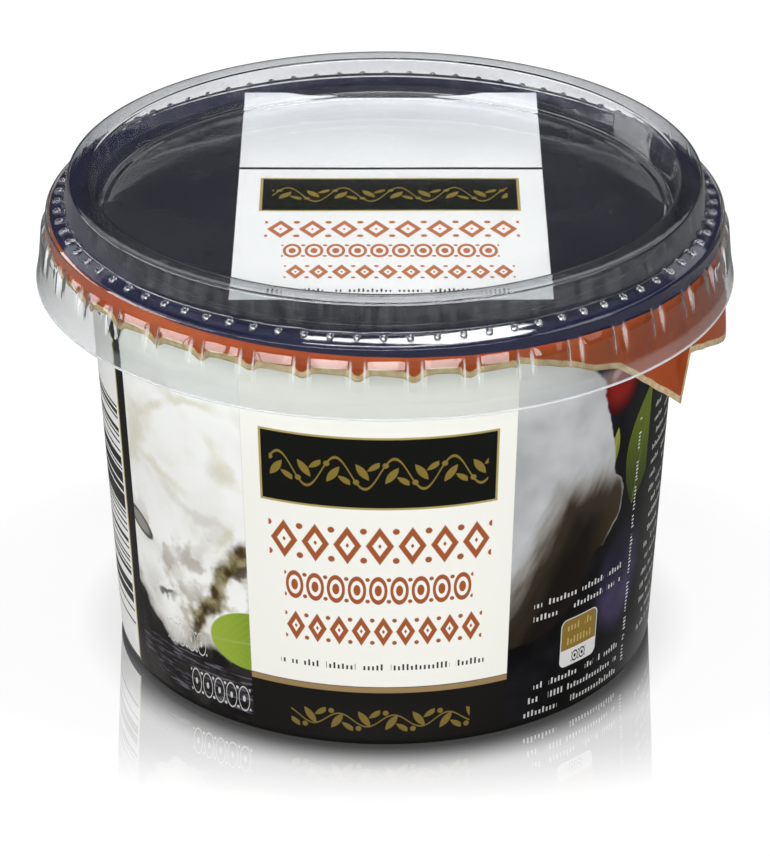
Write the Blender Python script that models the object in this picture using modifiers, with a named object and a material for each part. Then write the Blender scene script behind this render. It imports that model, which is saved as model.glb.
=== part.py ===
"""A sealed round dairy tub: the filled tub, its peel-off lid with a pull tab, and a clear press-on lid.

The three pieces share one upright axis, +Z.  The origin is the middle of the foot, on the surface
the tub stands on, and -Y is the front of the tub.  Every outline below is in millimetres.
"""
import math

import bmesh
import bpy

COLLECTION = "sealed_cheese_tub"
MM = 0.001
TURN = 2.0 * math.pi

# Tub: a tapered injection-moulded body with a foot ring and a flat rim that turns down.
# The peel-off lid lies on the rim and is pressed down inside it, onto the contents.
FOOT_OUTER_R = 37.2
FOOT_INNER_R = 34.0
FOOT_RECESS_R = 33.2
FOOT_RECESS = 1.0
WALL_FOOT_R = 39.4
WALL_TOP_R = 42.7
WALL_TOP_Z = 64.0
FOOT_CORNER_Z = 2.4
RIM_R = 47.2
RIM_TOP_Z = 66.4
DIP_Z = 65.3
DIP_R = 41.75
RIM_FLAT_R = 43.75
RIM_THICKNESS = 1.2
RIM_ROUND = 0.5
RIM_ROUND_STEPS = 1
RIM_FILLET = 0.8
RIM_LIP_Z = 62.8
RIM_LIP_THICKNESS = 0.7
CORNER_STEPS = 3
TUB_STEPS = 60
SHARP_DEG = 30.0
MERGE = 0.00001

# Fit between the pieces
GAP = 0.3

# Peel-off lid: a thin disc that folds down over the rim, with a pull tab at the front right
FILM_THICKNESS = 0.25
FILM_DIP_R = 41.6
FILM_FLAT_R = 43.6
FILM_R = 47.8
FILM_FOLD = 0.6
FILM_SKIRT_Z = 64.2
FILM_EDGE_Z = 62.7
SCALLOP_DEPTH = 0.8
TAB_BEND_Z = 60.0
TAB_LIP_Z = 57.1
TAB_LIP_R = 49.1
TAB_END_Z = 51.4
TAB_END_R = 49.85
TAB_FOLD_DEG = 60.5
TAB_FRONT_R = 48.1
TAB_TIP_Z = 47.2
HANG_ROWS = 3
# Lower edge of the tab, as degrees round from the front and height above the table
TAB_EDGE = ((24.0, 62.7), (36.0, 59.3), (41.5, 58.0), (60.2, TAB_TIP_Z), (60.9, 55.2),
            (74.5, TAB_END_Z), (77.0, 52.4), (79.0, 57.5), (86.0, 61.0), (94.0, 62.7))

# Clear lid: a thin thermoformed shell with a raised stacking ring and a skirt of snap panels
LID_THICKNESS = 0.3
PANEL_R = 41.2
RING_INNER_R = 41.9
RING_CREST_Z = 72.15
RING_CREST_ROUND = 0.4
RING_OUTER_R = 45.2
RING_FOOT_R = 46.2
RING_FOOT_Z = 68.2
SKIRT_R = 48.4
SKIRT_TOP_Z = 67.1
SNAP_TOP_Z = 65.2
SNAP_STEP = 0.6
SNAP_TOP_R = 48.95
SNAP_FOOT_R = 49.5
SNAP_FOOT_Z = 60.0
FLARE_R = 49.7
FLARE_Z = 59.0
LIP_R = 50.0
LIP_Z = 57.1
SNAP_COUNT = 40
SNAP_START_DEG = 4.7
COLUMNS_PER_SNAP = 3
GROOVE_HALF_DEG = 1.6

COLUMNS = SNAP_COUNT * COLUMNS_PER_SNAP
SNAP_PITCH_DEG = 360.0 / SNAP_COUNT
COLUMN_DEG = 360.0 / COLUMNS


def clear_scene():
    """Remove whatever the file holds."""
    for item in list(bpy.data.objects):
        bpy.data.objects.remove(item, do_unlink=True)


def arc(centre, radius, start_deg, end_deg, steps):
    """Points of a round corner in the outline's (radius, height) plane."""
    points = []
    for step in range(steps + 1):
        angle = math.radians(start_deg + (end_deg - start_deg) * step / steps)
        points.append((centre[0] + radius * math.cos(angle), centre[1] + radius * math.sin(angle)))
    return points


def principled(name, colour, roughness, metallic=0.0, alpha=1.0):
    """A plain material for one piece."""
    material = bpy.data.materials.new(name)
    material.use_nodes = True
    shader = material.node_tree.nodes["Principled BSDF"]
    shader.inputs["Base Color"].default_value = (*colour, 1.0)
    shader.inputs["Roughness"].default_value = roughness
    shader.inputs["Metallic"].default_value = metallic
    shader.inputs["Alpha"].default_value = alpha
    return material


def add_object(name, mesh, material, collection):
    """One named object for one piece, shaded smooth except along its real edges."""
    mesh.materials.append(material)
    mesh.shade_smooth()
    mesh.set_sharp_from_angle(angle=math.radians(SHARP_DEG))
    piece = bpy.data.objects.new(name, mesh)
    collection.objects.link(piece)
    return piece


def outline_mesh(name, outline):
    """An open chain of edges in the XZ plane, from (radius, height) points in millimetres."""
    mesh_maker = bmesh.new()
    corners = [mesh_maker.verts.new((radius * MM, 0.0, height * MM)) for radius, height in outline]
    for first, second in zip(corners, corners[1:]):
        mesh_maker.edges.new((first, second))
    mesh = bpy.data.meshes.new(name)
    mesh_maker.to_mesh(mesh)
    mesh_maker.free()
    return mesh


def tub_outline():
    """The tub's half section, from the middle of its top to the middle of its foot."""
    top = [(0.0, DIP_Z), (DIP_R, DIP_Z), (RIM_FLAT_R, RIM_TOP_Z)]
    top += arc((RIM_R - RIM_ROUND, RIM_TOP_Z - RIM_ROUND), RIM_ROUND, 90.0, 0.0, RIM_ROUND_STEPS)
    lip = [(RIM_R, RIM_LIP_Z), (RIM_R - RIM_LIP_THICKNESS, RIM_LIP_Z)]
    under = [(RIM_R - RIM_LIP_THICKNESS, RIM_TOP_Z - RIM_THICKNESS),
             (WALL_TOP_R + RIM_FILLET, RIM_TOP_Z - RIM_THICKNESS)]
    wall = [(WALL_TOP_R, WALL_TOP_Z)]
    foot_round = WALL_FOOT_R - FOOT_OUTER_R
    corner = arc((FOOT_OUTER_R, FOOT_CORNER_Z), foot_round, 0.0, -90.0, CORNER_STEPS)
    drop = FOOT_CORNER_Z / foot_round
    corner = [(radius, FOOT_CORNER_Z + (height - FOOT_CORNER_Z) * drop) for radius, height in corner]
    foot = [(FOOT_INNER_R, 0.0), (FOOT_RECESS_R, FOOT_RECESS), (0.0, FOOT_RECESS)]
    return top + lip + under + wall + corner + foot


def make_tub(collection):
    """Turn the tub's half section about the axis; the contents fill it, so it is one solid."""
    mesh = outline_mesh("tub", tub_outline())
    tub = add_object("tub", mesh, principled("tub_print", (0.80, 0.79, 0.76), 0.3), collection)
    screw = tub.modifiers.new("turn", "SCREW")
    screw.angle = TURN
    screw.steps = TUB_STEPS
    screw.render_steps = TUB_STEPS
    screw.use_merge_vertices = True
    screw.merge_threshold = MERGE
    screw.use_smooth_shade = True
    return tub


def turned_sheet(outline):
    """Spin an outline into a round open sheet with one column of vertices every few degrees.

    Each vertex keeps its row along the outline in the layer "row" and its column in "column".
    """
    sheet = bmesh.new()
    row = sheet.verts.layers.int.new("row")
    column = sheet.verts.layers.int.new("column")
    chain = []
    for index, (radius, height) in enumerate(outline):
        vertex = sheet.verts.new((radius * MM, 0.0, height * MM))
        vertex[row] = index
        chain.append(vertex)
    edges = [sheet.edges.new(pair) for pair in zip(chain, chain[1:])]
    bmesh.ops.spin(sheet, geom=chain + edges, cent=(0, 0, 0), axis=(0, 0, 1), angle=TURN,
                   steps=COLUMNS, use_merge=True)
    bmesh.ops.remove_doubles(sheet, verts=sheet.verts, dist=MERGE)
    for vertex in sheet.verts:
        angle = math.degrees(math.atan2(vertex.co.y, vertex.co.x)) % 360.0
        vertex[column] = round(angle / COLUMN_DEG) % COLUMNS
    return sheet, row, column


def place(vertex, radius, degrees, height):
    """Put a vertex at a radius and height, so many degrees round from the front towards +X."""
    angle = math.radians(degrees)
    vertex.co = (radius * MM * math.sin(angle), -radius * MM * math.cos(angle), height * MM)


def shell_object(name, sheet, thickness, material, collection):
    """Give an outer skin its wall thickness, inwards, and make it one named piece."""
    bmesh.ops.recalc_face_normals(sheet, faces=sheet.faces)
    highest = max(sheet.faces, key=lambda face: face.calc_center_median().z)
    if highest.normal.z < 0:
        bmesh.ops.reverse_faces(sheet, faces=sheet.faces)
    mesh = bpy.data.meshes.new(name)
    sheet.to_mesh(mesh)
    sheet.free()
    piece = add_object(name, mesh, material, collection)
    wall = piece.modifiers.new("wall", "SOLIDIFY")
    wall.thickness = thickness * MM
    wall.offset = -1.0
    wall.use_even_offset = True
    return piece


def along(points, position):
    """Value at a position on a chain of straight pieces given as (position, value) pairs."""
    for (start, first), (end, last) in zip(points, points[1:]):
        if start <= position <= end:
            return first + (last - first) * (position - start) / (end - start)
    return points[-1][1]


def film_edge_height(degrees, in_groove):
    """Lower edge of the peel-off lid: a scallop under each snap groove, and the tab."""
    if TAB_EDGE[0][0] < degrees < TAB_EDGE[-1][0]:
        return along(TAB_EDGE, degrees)
    return FILM_EDGE_Z - (SCALLOP_DEPTH if in_groove else 0.0)


def film_radius(degrees, height):
    """How far out the folded skirt hangs: the tab's near flap is upright, its far one flares."""
    if height >= TAB_BEND_Z:
        return FILM_R
    if degrees < TAB_FOLD_DEG:
        return along(((TAB_TIP_Z, TAB_FRONT_R), (TAB_BEND_Z, FILM_R)), height)
    flare = ((TAB_END_Z, TAB_END_R), (TAB_LIP_Z, TAB_LIP_R), (TAB_BEND_Z, FILM_R))
    return along(flare, max(height, TAB_END_Z))


def film_column_degrees(column):
    """Columns stand at equal steps, and the two beside the tab's fold close up on it."""
    degrees = SNAP_START_DEG + COLUMN_DEG * column
    before_fold = TAB_EDGE[3][0]
    after_fold = TAB_EDGE[4][0]
    if before_fold - COLUMN_DEG < degrees <= before_fold:
        return before_fold
    if after_fold <= degrees < after_fold + COLUMN_DEG:
        return after_fold
    return degrees


def make_film_lid(collection):
    """The peel-off lid: a dipped disc, a fold at the rim, and a skirt that follows its cut edge."""
    above = GAP + FILM_THICKNESS
    top = RIM_TOP_Z + above
    outline = [(0.0, DIP_Z + above), (FILM_DIP_R, DIP_Z + above), (FILM_FLAT_R, top),
               (FILM_R - FILM_FOLD, top), (FILM_R, top - FILM_FOLD)]
    first_hang = len(outline)
    outline += [(FILM_R, FILM_EDGE_Z - step) for step in range(HANG_ROWS)]
    sheet, row, column = turned_sheet(outline)
    for vertex in sheet.verts:
        degrees = film_column_degrees(vertex[column])
        radius, height = outline[vertex[row]]
        if vertex[row] >= first_hang:
            share = (vertex[row] - first_hang + 1) / HANG_ROWS
            lowest = film_edge_height(degrees, vertex[column] % COLUMNS_PER_SNAP == 0)
            height = FILM_SKIRT_Z + (lowest - FILM_SKIRT_Z) * share
            radius = film_radius(degrees, height)
        place(vertex, radius, degrees, height)
    material = principled("lid_print", (0.03, 0.035, 0.045), 0.35)
    return shell_object("film_lid", sheet, FILM_THICKNESS, material, collection)


def clear_lid_outline():
    """Outer skin of the clear lid, from the middle of its panel to the edge of its skirt."""
    panel_z = DIP_Z + GAP + FILM_THICKNESS + GAP + LID_THICKNESS
    return [(0.0, panel_z), (PANEL_R, panel_z),
            (RING_INNER_R, RING_CREST_Z - RING_CREST_ROUND),
            (RING_INNER_R + RING_CREST_ROUND, RING_CREST_Z),
            (RING_OUTER_R - RING_CREST_ROUND, RING_CREST_Z),
            (RING_OUTER_R, RING_CREST_Z - RING_CREST_ROUND),
            (RING_FOOT_R, RING_FOOT_Z), (SKIRT_R, SKIRT_TOP_Z), (SKIRT_R, SNAP_TOP_Z),
            (SNAP_TOP_R, SNAP_TOP_Z - SNAP_STEP), (SNAP_FOOT_R, SNAP_FOOT_Z),
            (FLARE_R, FLARE_Z), (LIP_R, LIP_Z)]


def lid_column_degrees(column):
    """A groove's middle, then the two sides of the snap panel that follows it."""
    snap, side = divmod(column, COLUMNS_PER_SNAP)
    across = (0.0, GROOVE_HALF_DEG, SNAP_PITCH_DEG - GROOVE_HALF_DEG)[side]
    return SNAP_START_DEG + SNAP_PITCH_DEG * snap + across


def make_clear_lid(collection):
    """The press-on lid: a turned sheet whose skirt stands proud in panels between narrow grooves."""
    outline = clear_lid_outline()
    panel_head = outline.index((SNAP_TOP_R, SNAP_TOP_Z - SNAP_STEP))
    panel_foot = outline.index((SNAP_FOOT_R, SNAP_FOOT_Z))
    sheet, row, column = turned_sheet(outline)
    for vertex in sheet.verts:
        radius, height = outline[vertex[row]]
        if vertex[row] in (panel_head, panel_foot) and vertex[column] % COLUMNS_PER_SNAP == 0:
            radius = SKIRT_R
        place(vertex, radius, lid_column_degrees(vertex[column]), height)
    material = principled("clear_plastic", (0.90, 0.92, 0.93), 0.08, alpha=0.3)
    return shell_object("clear_lid", sheet, LID_THICKNESS, material, collection)


def main():
    clear_scene()
    collection = bpy.data.collections.new(COLLECTION)
    bpy.context.scene.collection.children.link(collection)
    make_tub(collection)
    make_film_lid(collection)
    make_clear_lid(collection)


main()
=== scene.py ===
# %% [markdown]
# # A sealed tub of burrata
#
# This is a shut pack from a dairy shelf: a tapered tub with a label moulded into its wall, a peel-off lid
# folded down over the rim, and a clear lid pressed on top.  The CAD model gives three closed solids at
# their real size.  Here each one gets the surface that the real thing has.  All three are round, so the
# lesson is mostly about one idea: draw half of a section, spin it, then press small details into it.

# %% Load the CAD frame
import math

import bmesh
import bpy
from mathutils import Matrix, Vector, noise


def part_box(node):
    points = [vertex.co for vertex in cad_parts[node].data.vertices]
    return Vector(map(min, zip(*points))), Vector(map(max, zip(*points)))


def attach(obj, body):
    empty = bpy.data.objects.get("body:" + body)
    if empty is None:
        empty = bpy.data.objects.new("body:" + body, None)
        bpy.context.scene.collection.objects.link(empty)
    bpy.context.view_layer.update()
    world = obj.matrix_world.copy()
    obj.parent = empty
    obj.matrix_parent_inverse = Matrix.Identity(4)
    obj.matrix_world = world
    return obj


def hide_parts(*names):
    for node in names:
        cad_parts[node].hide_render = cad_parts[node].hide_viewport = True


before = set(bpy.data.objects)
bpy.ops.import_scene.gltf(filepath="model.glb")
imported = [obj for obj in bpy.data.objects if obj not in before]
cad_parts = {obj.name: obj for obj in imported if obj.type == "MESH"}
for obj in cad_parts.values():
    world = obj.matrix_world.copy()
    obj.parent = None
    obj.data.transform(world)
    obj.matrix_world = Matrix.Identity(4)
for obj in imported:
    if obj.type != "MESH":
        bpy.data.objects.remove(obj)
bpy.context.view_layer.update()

MM = 0.001
RIM_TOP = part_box("tub")[1].z / MM
FILM_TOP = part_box("film_lid")[1].z / MM
clear_low, clear_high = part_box("clear_lid")
CREST_TOP = clear_high.z / MM
LIP_BOTTOM = clear_low.z / MM
print("frame:", sorted(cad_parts))
print("rim top", round(RIM_TOP, 2), "mm, lid crest", round(CREST_TOP, 2), "mm")

# %% [markdown]
# ## The camera
#
# A product picture like this is taken from some distance with a long lens, so that the sides of the tub
# stay nearly straight.  The camera stands in front, looks down by about 27 degrees and sees the top and
# the front at once.  A camera in Blender looks along its own -Z, so a turn about X of 90 degrees would
# look level, and a smaller turn looks down.

# %% Camera
CAMERA_BACK = 0.5582
CAMERA_HEIGHT = 0.3128
CAMERA_DOWN = math.radians(26.8)
LENS = 179.6
SENSOR = 36.0

camera = bpy.data.objects.new("camera", bpy.data.cameras.new("camera"))
camera.data.lens = LENS
camera.data.sensor_width = SENSOR
camera.location = (0.0, -CAMERA_BACK, CAMERA_HEIGHT)
camera.rotation_euler = (math.pi / 2 - CAMERA_DOWN, 0.0, 0.0)
bpy.context.scene.collection.objects.link(camera)
bpy.context.scene.camera = camera
bpy.context.scene.view_settings.view_transform = "Standard"
print("camera", [round(value, 3) for value in camera.location])

# %% [markdown]
# ## Calculating with nodes
#
# A material here is a short program: it measures where a point is, asks whether that lies inside some
# shape of the print, and mixes two colours by the answer.  Written node by node that takes pages.  So a
# node's output is wrapped in a small class of its own, which turns plain arithmetic into Math nodes:
# where a and b are such values, a * b + 1 adds a Multiply node and an Add node, and wires them up.

# %% Values that add Math nodes
class Value:
    """A node's output that can be calculated with: each operator adds a Math node to the output's tree."""

    def __init__(self, socket):
        self.socket = socket
        self.tree = socket.id_data

    def __add__(self, other):
        return calculate("ADD", self, other)

    def __radd__(self, other):
        return calculate("ADD", other, self)

    def __sub__(self, other):
        return calculate("SUBTRACT", self, other)

    def __rsub__(self, other):
        return calculate("SUBTRACT", other, self)

    def __mul__(self, other):
        return calculate("MULTIPLY", self, other)

    def __rmul__(self, other):
        return calculate("MULTIPLY", other, self)

    def __truediv__(self, other):
        return calculate("DIVIDE", self, other)

    def __mod__(self, other):
        return calculate("FLOORED_MODULO", self, other)

    def __pow__(self, other):
        return calculate("POWER", self, other)

    def __abs__(self):
        return calculate("ABSOLUTE", self)

    def __gt__(self, other):
        return calculate("GREATER_THAN", self, other)

    def __lt__(self, other):
        return calculate("LESS_THAN", self, other)

# %% Math nodes
def wire(socket, value):
    """Connect a socket to a value, or set its own number or colour."""
    if isinstance(value, Value):
        value.tree.links.new(value.socket, socket)
    else:
        socket.default_value = value


def filled(node, values):
    """Wire values to a node's first inputs, in their order, and hand the node back."""
    for socket, value in zip(node.inputs, values):
        wire(socket, value)
    return node


def calculate(operation, *values, clamp=False):
    """One Math node; every value is a number or a Value, and at least one is a Value."""
    tree = next(value.tree for value in values if isinstance(value, Value))
    node = tree.nodes.new("ShaderNodeMath")
    node.operation = operation
    node.use_clamp = clamp
    return Value(filled(node, values).outputs[0])


def largest(first, *others):
    for other in others:
        first = calculate("MAXIMUM", first, other)
    return first


def inside(first, *others):
    """Where all the masks overlap."""
    for other in others:
        first = first * other
    return first


print("values ready")

# %% [markdown]
# A few more kinds of node come back again and again: a colour mixed over another, a number that eases
# from one value to another, the parts of a place, noise.  Each gets a helper too.

# %% Node helpers
def rgb(red, green, blue):
    return (red, green, blue, 1.0)


def over(mask, below, above):
    """Paint one colour over another where the mask is 1."""
    node = mask.tree.nodes.new("ShaderNodeMix")
    node.data_type = "RGBA"
    wire(node.inputs["Factor"], mask)
    wire(node.inputs["A"], below)
    wire(node.inputs["B"], above)
    return Value(node.outputs["Result"])


def painted(colour, *layers):
    """Paint layers over a colour in their order; each layer is a mask and its ink."""
    for mask, ink in layers:
        colour = over(mask, colour, ink)
    return colour


def covered(mask, below, above):
    """One shader over another; whichever the mask hides isn't worked out, which saves time."""
    node = mask.tree.nodes.new("ShaderNodeMixShader")
    return Value(filled(node, (mask, below, above)).outputs[0])


def ease(value, start, end, low=0.0, high=1.0):
    """Fade smoothly from low to high while the value runs from start to end."""
    node = value.tree.nodes.new("ShaderNodeMapRange")
    node.interpolation_type = "SMOOTHSTEP"
    return Value(filled(node, (value, start, end, low, high)).outputs["Result"])


def point_at(across, up, depth=0.0):
    node = across.tree.nodes.new("ShaderNodeCombineXYZ")
    return Value(filled(node, (across, up, depth)).outputs[0])


def apart(place):
    """The three parts of a place or a colour."""
    node = place.tree.nodes.new("ShaderNodeSeparateXYZ")
    return [Value(socket) for socket in filled(node, [place]).outputs]


def distance(across, up):
    """Distance of a point from the origin of a plane."""
    return calculate("SQRT", across * across + up * up)

# %% Noise nodes
def noise_node(place, scale, detail, roughness):
    node = place.tree.nodes.new("ShaderNodeTexNoise")
    wire(node.inputs["Vector"], place)
    node.inputs["Scale"].default_value = scale
    node.inputs["Detail"].default_value = detail
    node.inputs["Roughness"].default_value = roughness
    return node


def cloud(place, scale, detail=3.0):
    """Smooth noise between 0 and 1."""
    return Value(noise_node(place, scale, detail, 0.55).outputs["Fac"])


def dice(place):
    """A random number between 0 and 1, the same all over a cell when the place is rounded to cells."""
    node = place.tree.nodes.new("ShaderNodeTexWhiteNoise")
    node.noise_dimensions = "3D"
    wire(node.inputs["Vector"], place)
    return Value(node.outputs["Value"])


print("node helpers ready")

# %% [markdown]
# A shader group is a piece of such a program that is written once and placed in many materials, each
# time with other numbers.  Its inputs and outputs have names, and a small class lets them be read as
# Values by these names.

# %% Shader groups
class Named:
    """A node's outputs by their names, as Values."""

    def __init__(self, outputs):
        self.outputs = outputs

    def __getitem__(self, label):
        return Value(self.outputs[label])


def group(name, inputs, outputs):
    """A new shader group: what it is given, and the sockets of what is wanted from it."""
    tree = bpy.data.node_groups.new(name, "ShaderNodeTree")
    for label, kind in inputs:
        tree.interface.new_socket(label, in_out="INPUT", socket_type=kind)
    for label in outputs:
        tree.interface.new_socket(label, in_out="OUTPUT", socket_type="NodeSocketFloat")
    entry = tree.nodes.new("NodeGroupInput")
    exit_node = tree.nodes.new("NodeGroupOutput")
    return tree, Named(entry.outputs), exit_node.inputs


def use(made, **values):
    """Place a group in the tree of its values; an input's name is written with _ for a space."""
    tree = next(value.tree for value in values.values() if isinstance(value, Value))
    node = tree.nodes.new("ShaderNodeGroup")
    node.node_tree = made
    for label, value in values.items():
        wire(node.inputs[label.replace("_", " ")], value)
    return Named(node.outputs)

# %% Materials
def shader_material(name):
    """An empty node material and its output."""
    material = bpy.data.materials.new(name)
    material.use_nodes = True
    tree = material.node_tree
    tree.nodes.clear()
    output = tree.nodes.new("ShaderNodeOutputMaterial")
    return material, tree, output


def read(tree, kind, label):
    """A Value from a node that measures something, such as a place or a kind of ray."""
    return Value(tree.nodes.new(kind).outputs[label])


def object_place(tree):
    return read(tree, "ShaderNodeTexCoord", "Object")


def plain_shader(tree, kind, colour, **numbers):
    """A simple shader with its colour and, where it has some, its own numbers."""
    node = tree.nodes.new(kind)
    wire(node.inputs["Color"], colour)
    for label, number in numbers.items():
        node.inputs[label].default_value = number
    return Value(node.outputs[0])


print("material helpers ready")

# %% [markdown]
# ## The studio
#
# The pack stands on a glossy white sheet under big soft lights.  White seamless paper fills the view, and
# a mirror-like patch close to the foot gives the soft reflection that product pictures have.  Clear
# plastic shows only what it reflects, so what surrounds it matters more than its own colour.  The world
# is white where it is seen directly or through the plastic, but reflections find a dark studio with one
# pale strip behind, low over the horizon, so the lid stays clear and is drawn by thin bright lines.  The
# world and the floor tell these apart by how often the ray was mirrored or scattered before it got there.
#
# The lamps share the work too.  Fill lamps only brighten matt surfaces, and glare lamps are only seen as
# highlights, so the print is lit evenly while the plastic gets a few clear reflections.

# %% Floor
FLOOR_SIZE = 6.0
# Start, end and strength of the sharp reflection at the foot, and of the long fading one
CONTACT = (0.0390, 0.0470, 0.57)
MIRROR = (0.0380, 0.0600, 0.38)
MIRROR_LONG = 0.6
FLOOR_GLOW = 1.0
FLOOR_PAPER = 0.10
FLOOR_ROUGHNESS = 0.02
# How brightly the floor glows where it is seen in a reflection
FLOOR_MIRRORED = 0.14
# Ray depths are whole numbers, so half a bounce parts none from one or more
HALF_BOUNCE = 0.5


def make_floor():
    sheet = bmesh.new()
    bmesh.ops.create_grid(sheet, x_segments=1, y_segments=1, size=FLOOR_SIZE / 2)
    mesh = bpy.data.meshes.new("floor")
    sheet.to_mesh(mesh)
    sheet.free()
    floor = bpy.data.objects.new("floor", mesh)
    bpy.context.scene.collection.objects.link(floor)
    material, tree, output = shader_material("white_sheet")
    paper = plain_shader(tree, "ShaderNodeBsdfDiffuse", rgb(FLOOR_PAPER, FLOOR_PAPER, FLOOR_PAPER))
    mirrored = read(tree, "ShaderNodeLightPath", "Glossy Depth") > HALF_BOUNCE
    glow = tree.nodes.new("ShaderNodeEmission")
    wire(glow.inputs["Strength"], ease(mirrored, 0.0, 1.0, FLOOR_GLOW, FLOOR_MIRRORED))
    lit = filled(tree.nodes.new("ShaderNodeAddShader"), (paper, Value(glow.outputs[0])))
    gloss = plain_shader(tree, "ShaderNodeBsdfGlossy", rgb(1.0, 1.0, 1.0), Roughness=FLOOR_ROUGHNESS)
    x, y, _ = apart(object_place(tree))
    contact = ease(distance(x, y), *CONTACT, 0.0)
    mirror = ease(distance(x * MIRROR_LONG, y), *MIRROR, 0.0)
    wire(output.inputs[0], covered(contact + mirror, Value(lit.outputs[0]), gloss))
    mesh.materials.append(material)


make_floor()
print("floor", FLOOR_SIZE, "m wide, mirrored as far as", MIRROR[1] / MM, "mm")

# %% World
STRIP_LOW = math.radians(27.2)
STRIP_HIGH = math.radians(38.0)
STRIP_SOFT = math.radians(1.2)
FILL_LIGHT = 0.34
DARK_STUDIO = 0.035


def make_world():
    world = bpy.data.worlds.new("studio")
    bpy.context.scene.world = world
    world.use_nodes = True
    tree = world.node_tree
    tree.nodes.clear()
    output = tree.nodes.new("ShaderNodeOutputWorld")
    background = tree.nodes.new("ShaderNodeBackground")
    up = apart(read(tree, "ShaderNodeTexCoord", "Generated"))[2]
    height = calculate("ARCSINE", up)
    rise = ease(height, STRIP_LOW - STRIP_SOFT, STRIP_LOW + STRIP_SOFT)
    fall = ease(height, STRIP_HIGH - STRIP_SOFT, STRIP_HIGH + STRIP_SOFT, 1.0, 0.0)
    mirrored = ease(rise * fall, 0.0, 1.0, DARK_STUDIO, 1.0)
    was_mirrored = read(tree, "ShaderNodeLightPath", "Glossy Depth") > HALF_BOUNCE
    was_scattered = read(tree, "ShaderNodeLightPath", "Diffuse Depth") > HALF_BOUNCE
    strength = ease(was_mirrored, 0.0, 1.0, 1.0, mirrored)
    wire(background.inputs["Strength"], ease(was_scattered, 0.0, 1.0, strength, FILL_LIGHT))
    tree.links.new(background.outputs[0], output.inputs[0])


make_world()
print("pale strip from", round(math.degrees(STRIP_LOW)), "to", round(math.degrees(STRIP_HIGH)), "degrees up")

# %% Lamps
# Each has a name, degrees round from the front, degrees up, metres away, size, watts and its kind
LAMPS = (
    ("overhead_softbox", -17.0, 106.0, 0.95, (0.46, 0.19), 4.0, "glare"),
    ("top_fill", 0.0, 80.0, 1.30, (0.60, 0.60), 3.6, "fill"),
    ("front_fill", -12.0, 30.0, 1.20, (0.85, 0.40), 4.6, "fill"),
    ("side_fill", 70.0, 30.0, 1.20, (0.50, 0.50), 1.6, "fill"),
    ("front_strip", -4.0, 29.0, 1.10, (2.00, 0.34), 10.2, "glare"),
    ("left_strip", -78.0, 20.0, 1.10, (0.95, 0.34), 4.8, "glare"),
    ("low_left_strip", -116.0, 9.0, 1.10, (0.50, 0.24), 1.2, "glare"),
)
LAMP_TARGET = Vector((0.0, 0.0, 0.060))


def make_lamp(name, round_deg, up_deg, distance_m, size, watts, kind):
    """A softbox aimed at the lid, set by its direction as seen from there; 0 degrees is the front."""
    data = bpy.data.lights.new(name, "AREA")
    data.shape = "RECTANGLE"
    data.size, data.size_y = size
    data.energy = watts
    lamp = bpy.data.objects.new(name, data)
    level = distance_m * math.cos(math.radians(up_deg))
    angle = math.radians(round_deg)
    rise = distance_m * math.sin(math.radians(up_deg))
    lamp.location = LAMP_TARGET + Vector((level * math.sin(angle), -level * math.cos(angle), rise))
    lamp.rotation_mode = "QUATERNION"
    lamp.rotation_quaternion = (LAMP_TARGET - lamp.location).to_track_quat("-Z", "Y")
    lamp.visible_diffuse = kind != "glare"
    lamp.visible_glossy = kind != "fill"
    bpy.context.scene.collection.objects.link(lamp)


for lamp in LAMPS:
    make_lamp(*lamp)
print(len(LAMPS), "softboxes")

# %% [markdown]
# ## Half sections
#
# A moulded or thermoformed part never has a knife edge: every corner of its section is a small arc.  So a
# section is written as a few corners, each with its own radius, and a helper rounds them and then adds
# points along the straight stretches wherever small details will need vertices to move.

# %% Rounded outlines
ARC_STEP = math.radians(22.0)
# A corner flatter than this is left as it is, and an arc takes up less than half of each side
NEARLY_STRAIGHT = 0.02
SIDE_SHARE = 0.49
WELD = 0.000001


def rounded(corners):
    """An outline in millimetres from corners (radius, height, round), each round one cut by an arc."""
    points = []
    for index, (radius, height, bend) in enumerate(corners):
        here = Vector((radius, height))
        if bend == 0.0 or index in (0, len(corners) - 1):
            points.append(here)
            continue
        before = Vector(corners[index - 1][:2]) - here
        after = Vector(corners[index + 1][:2]) - here
        half = before.angle(after) / 2
        if math.cos(half) < NEARLY_STRAIGHT:
            points.append(here)
            continue
        reach = min(bend / math.tan(half), before.length * SIDE_SHARE, after.length * SIDE_SHARE)
        bend = reach * math.tan(half)
        middle = here + (before.normalized() + after.normalized()).normalized() * (bend / math.sin(half))
        start = here + before.normalized() * reach - middle
        turn = start.angle_signed(here + after.normalized() * reach - middle)
        steps = max(2, math.ceil(abs(turn) / ARC_STEP))
        for step in range(steps + 1):
            angle = -turn * step / steps
            spoke = Vector((start.x * math.cos(angle) - start.y * math.sin(angle),
                            start.x * math.sin(angle) + start.y * math.cos(angle)))
            points.append(middle + spoke)
    return points


def refined(points, spacing):
    """Add points along an outline; spacing(radius, height) is the longest stretch allowed there."""
    fine = [points[0]]
    for start, end in zip(points, points[1:]):
        middle = (start + end) / 2
        parts = max(1, round((end - start).length / spacing(middle.x, middle.y)))
        fine += [start.lerp(end, part / parts) for part in range(1, parts + 1)]
    return fine

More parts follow.
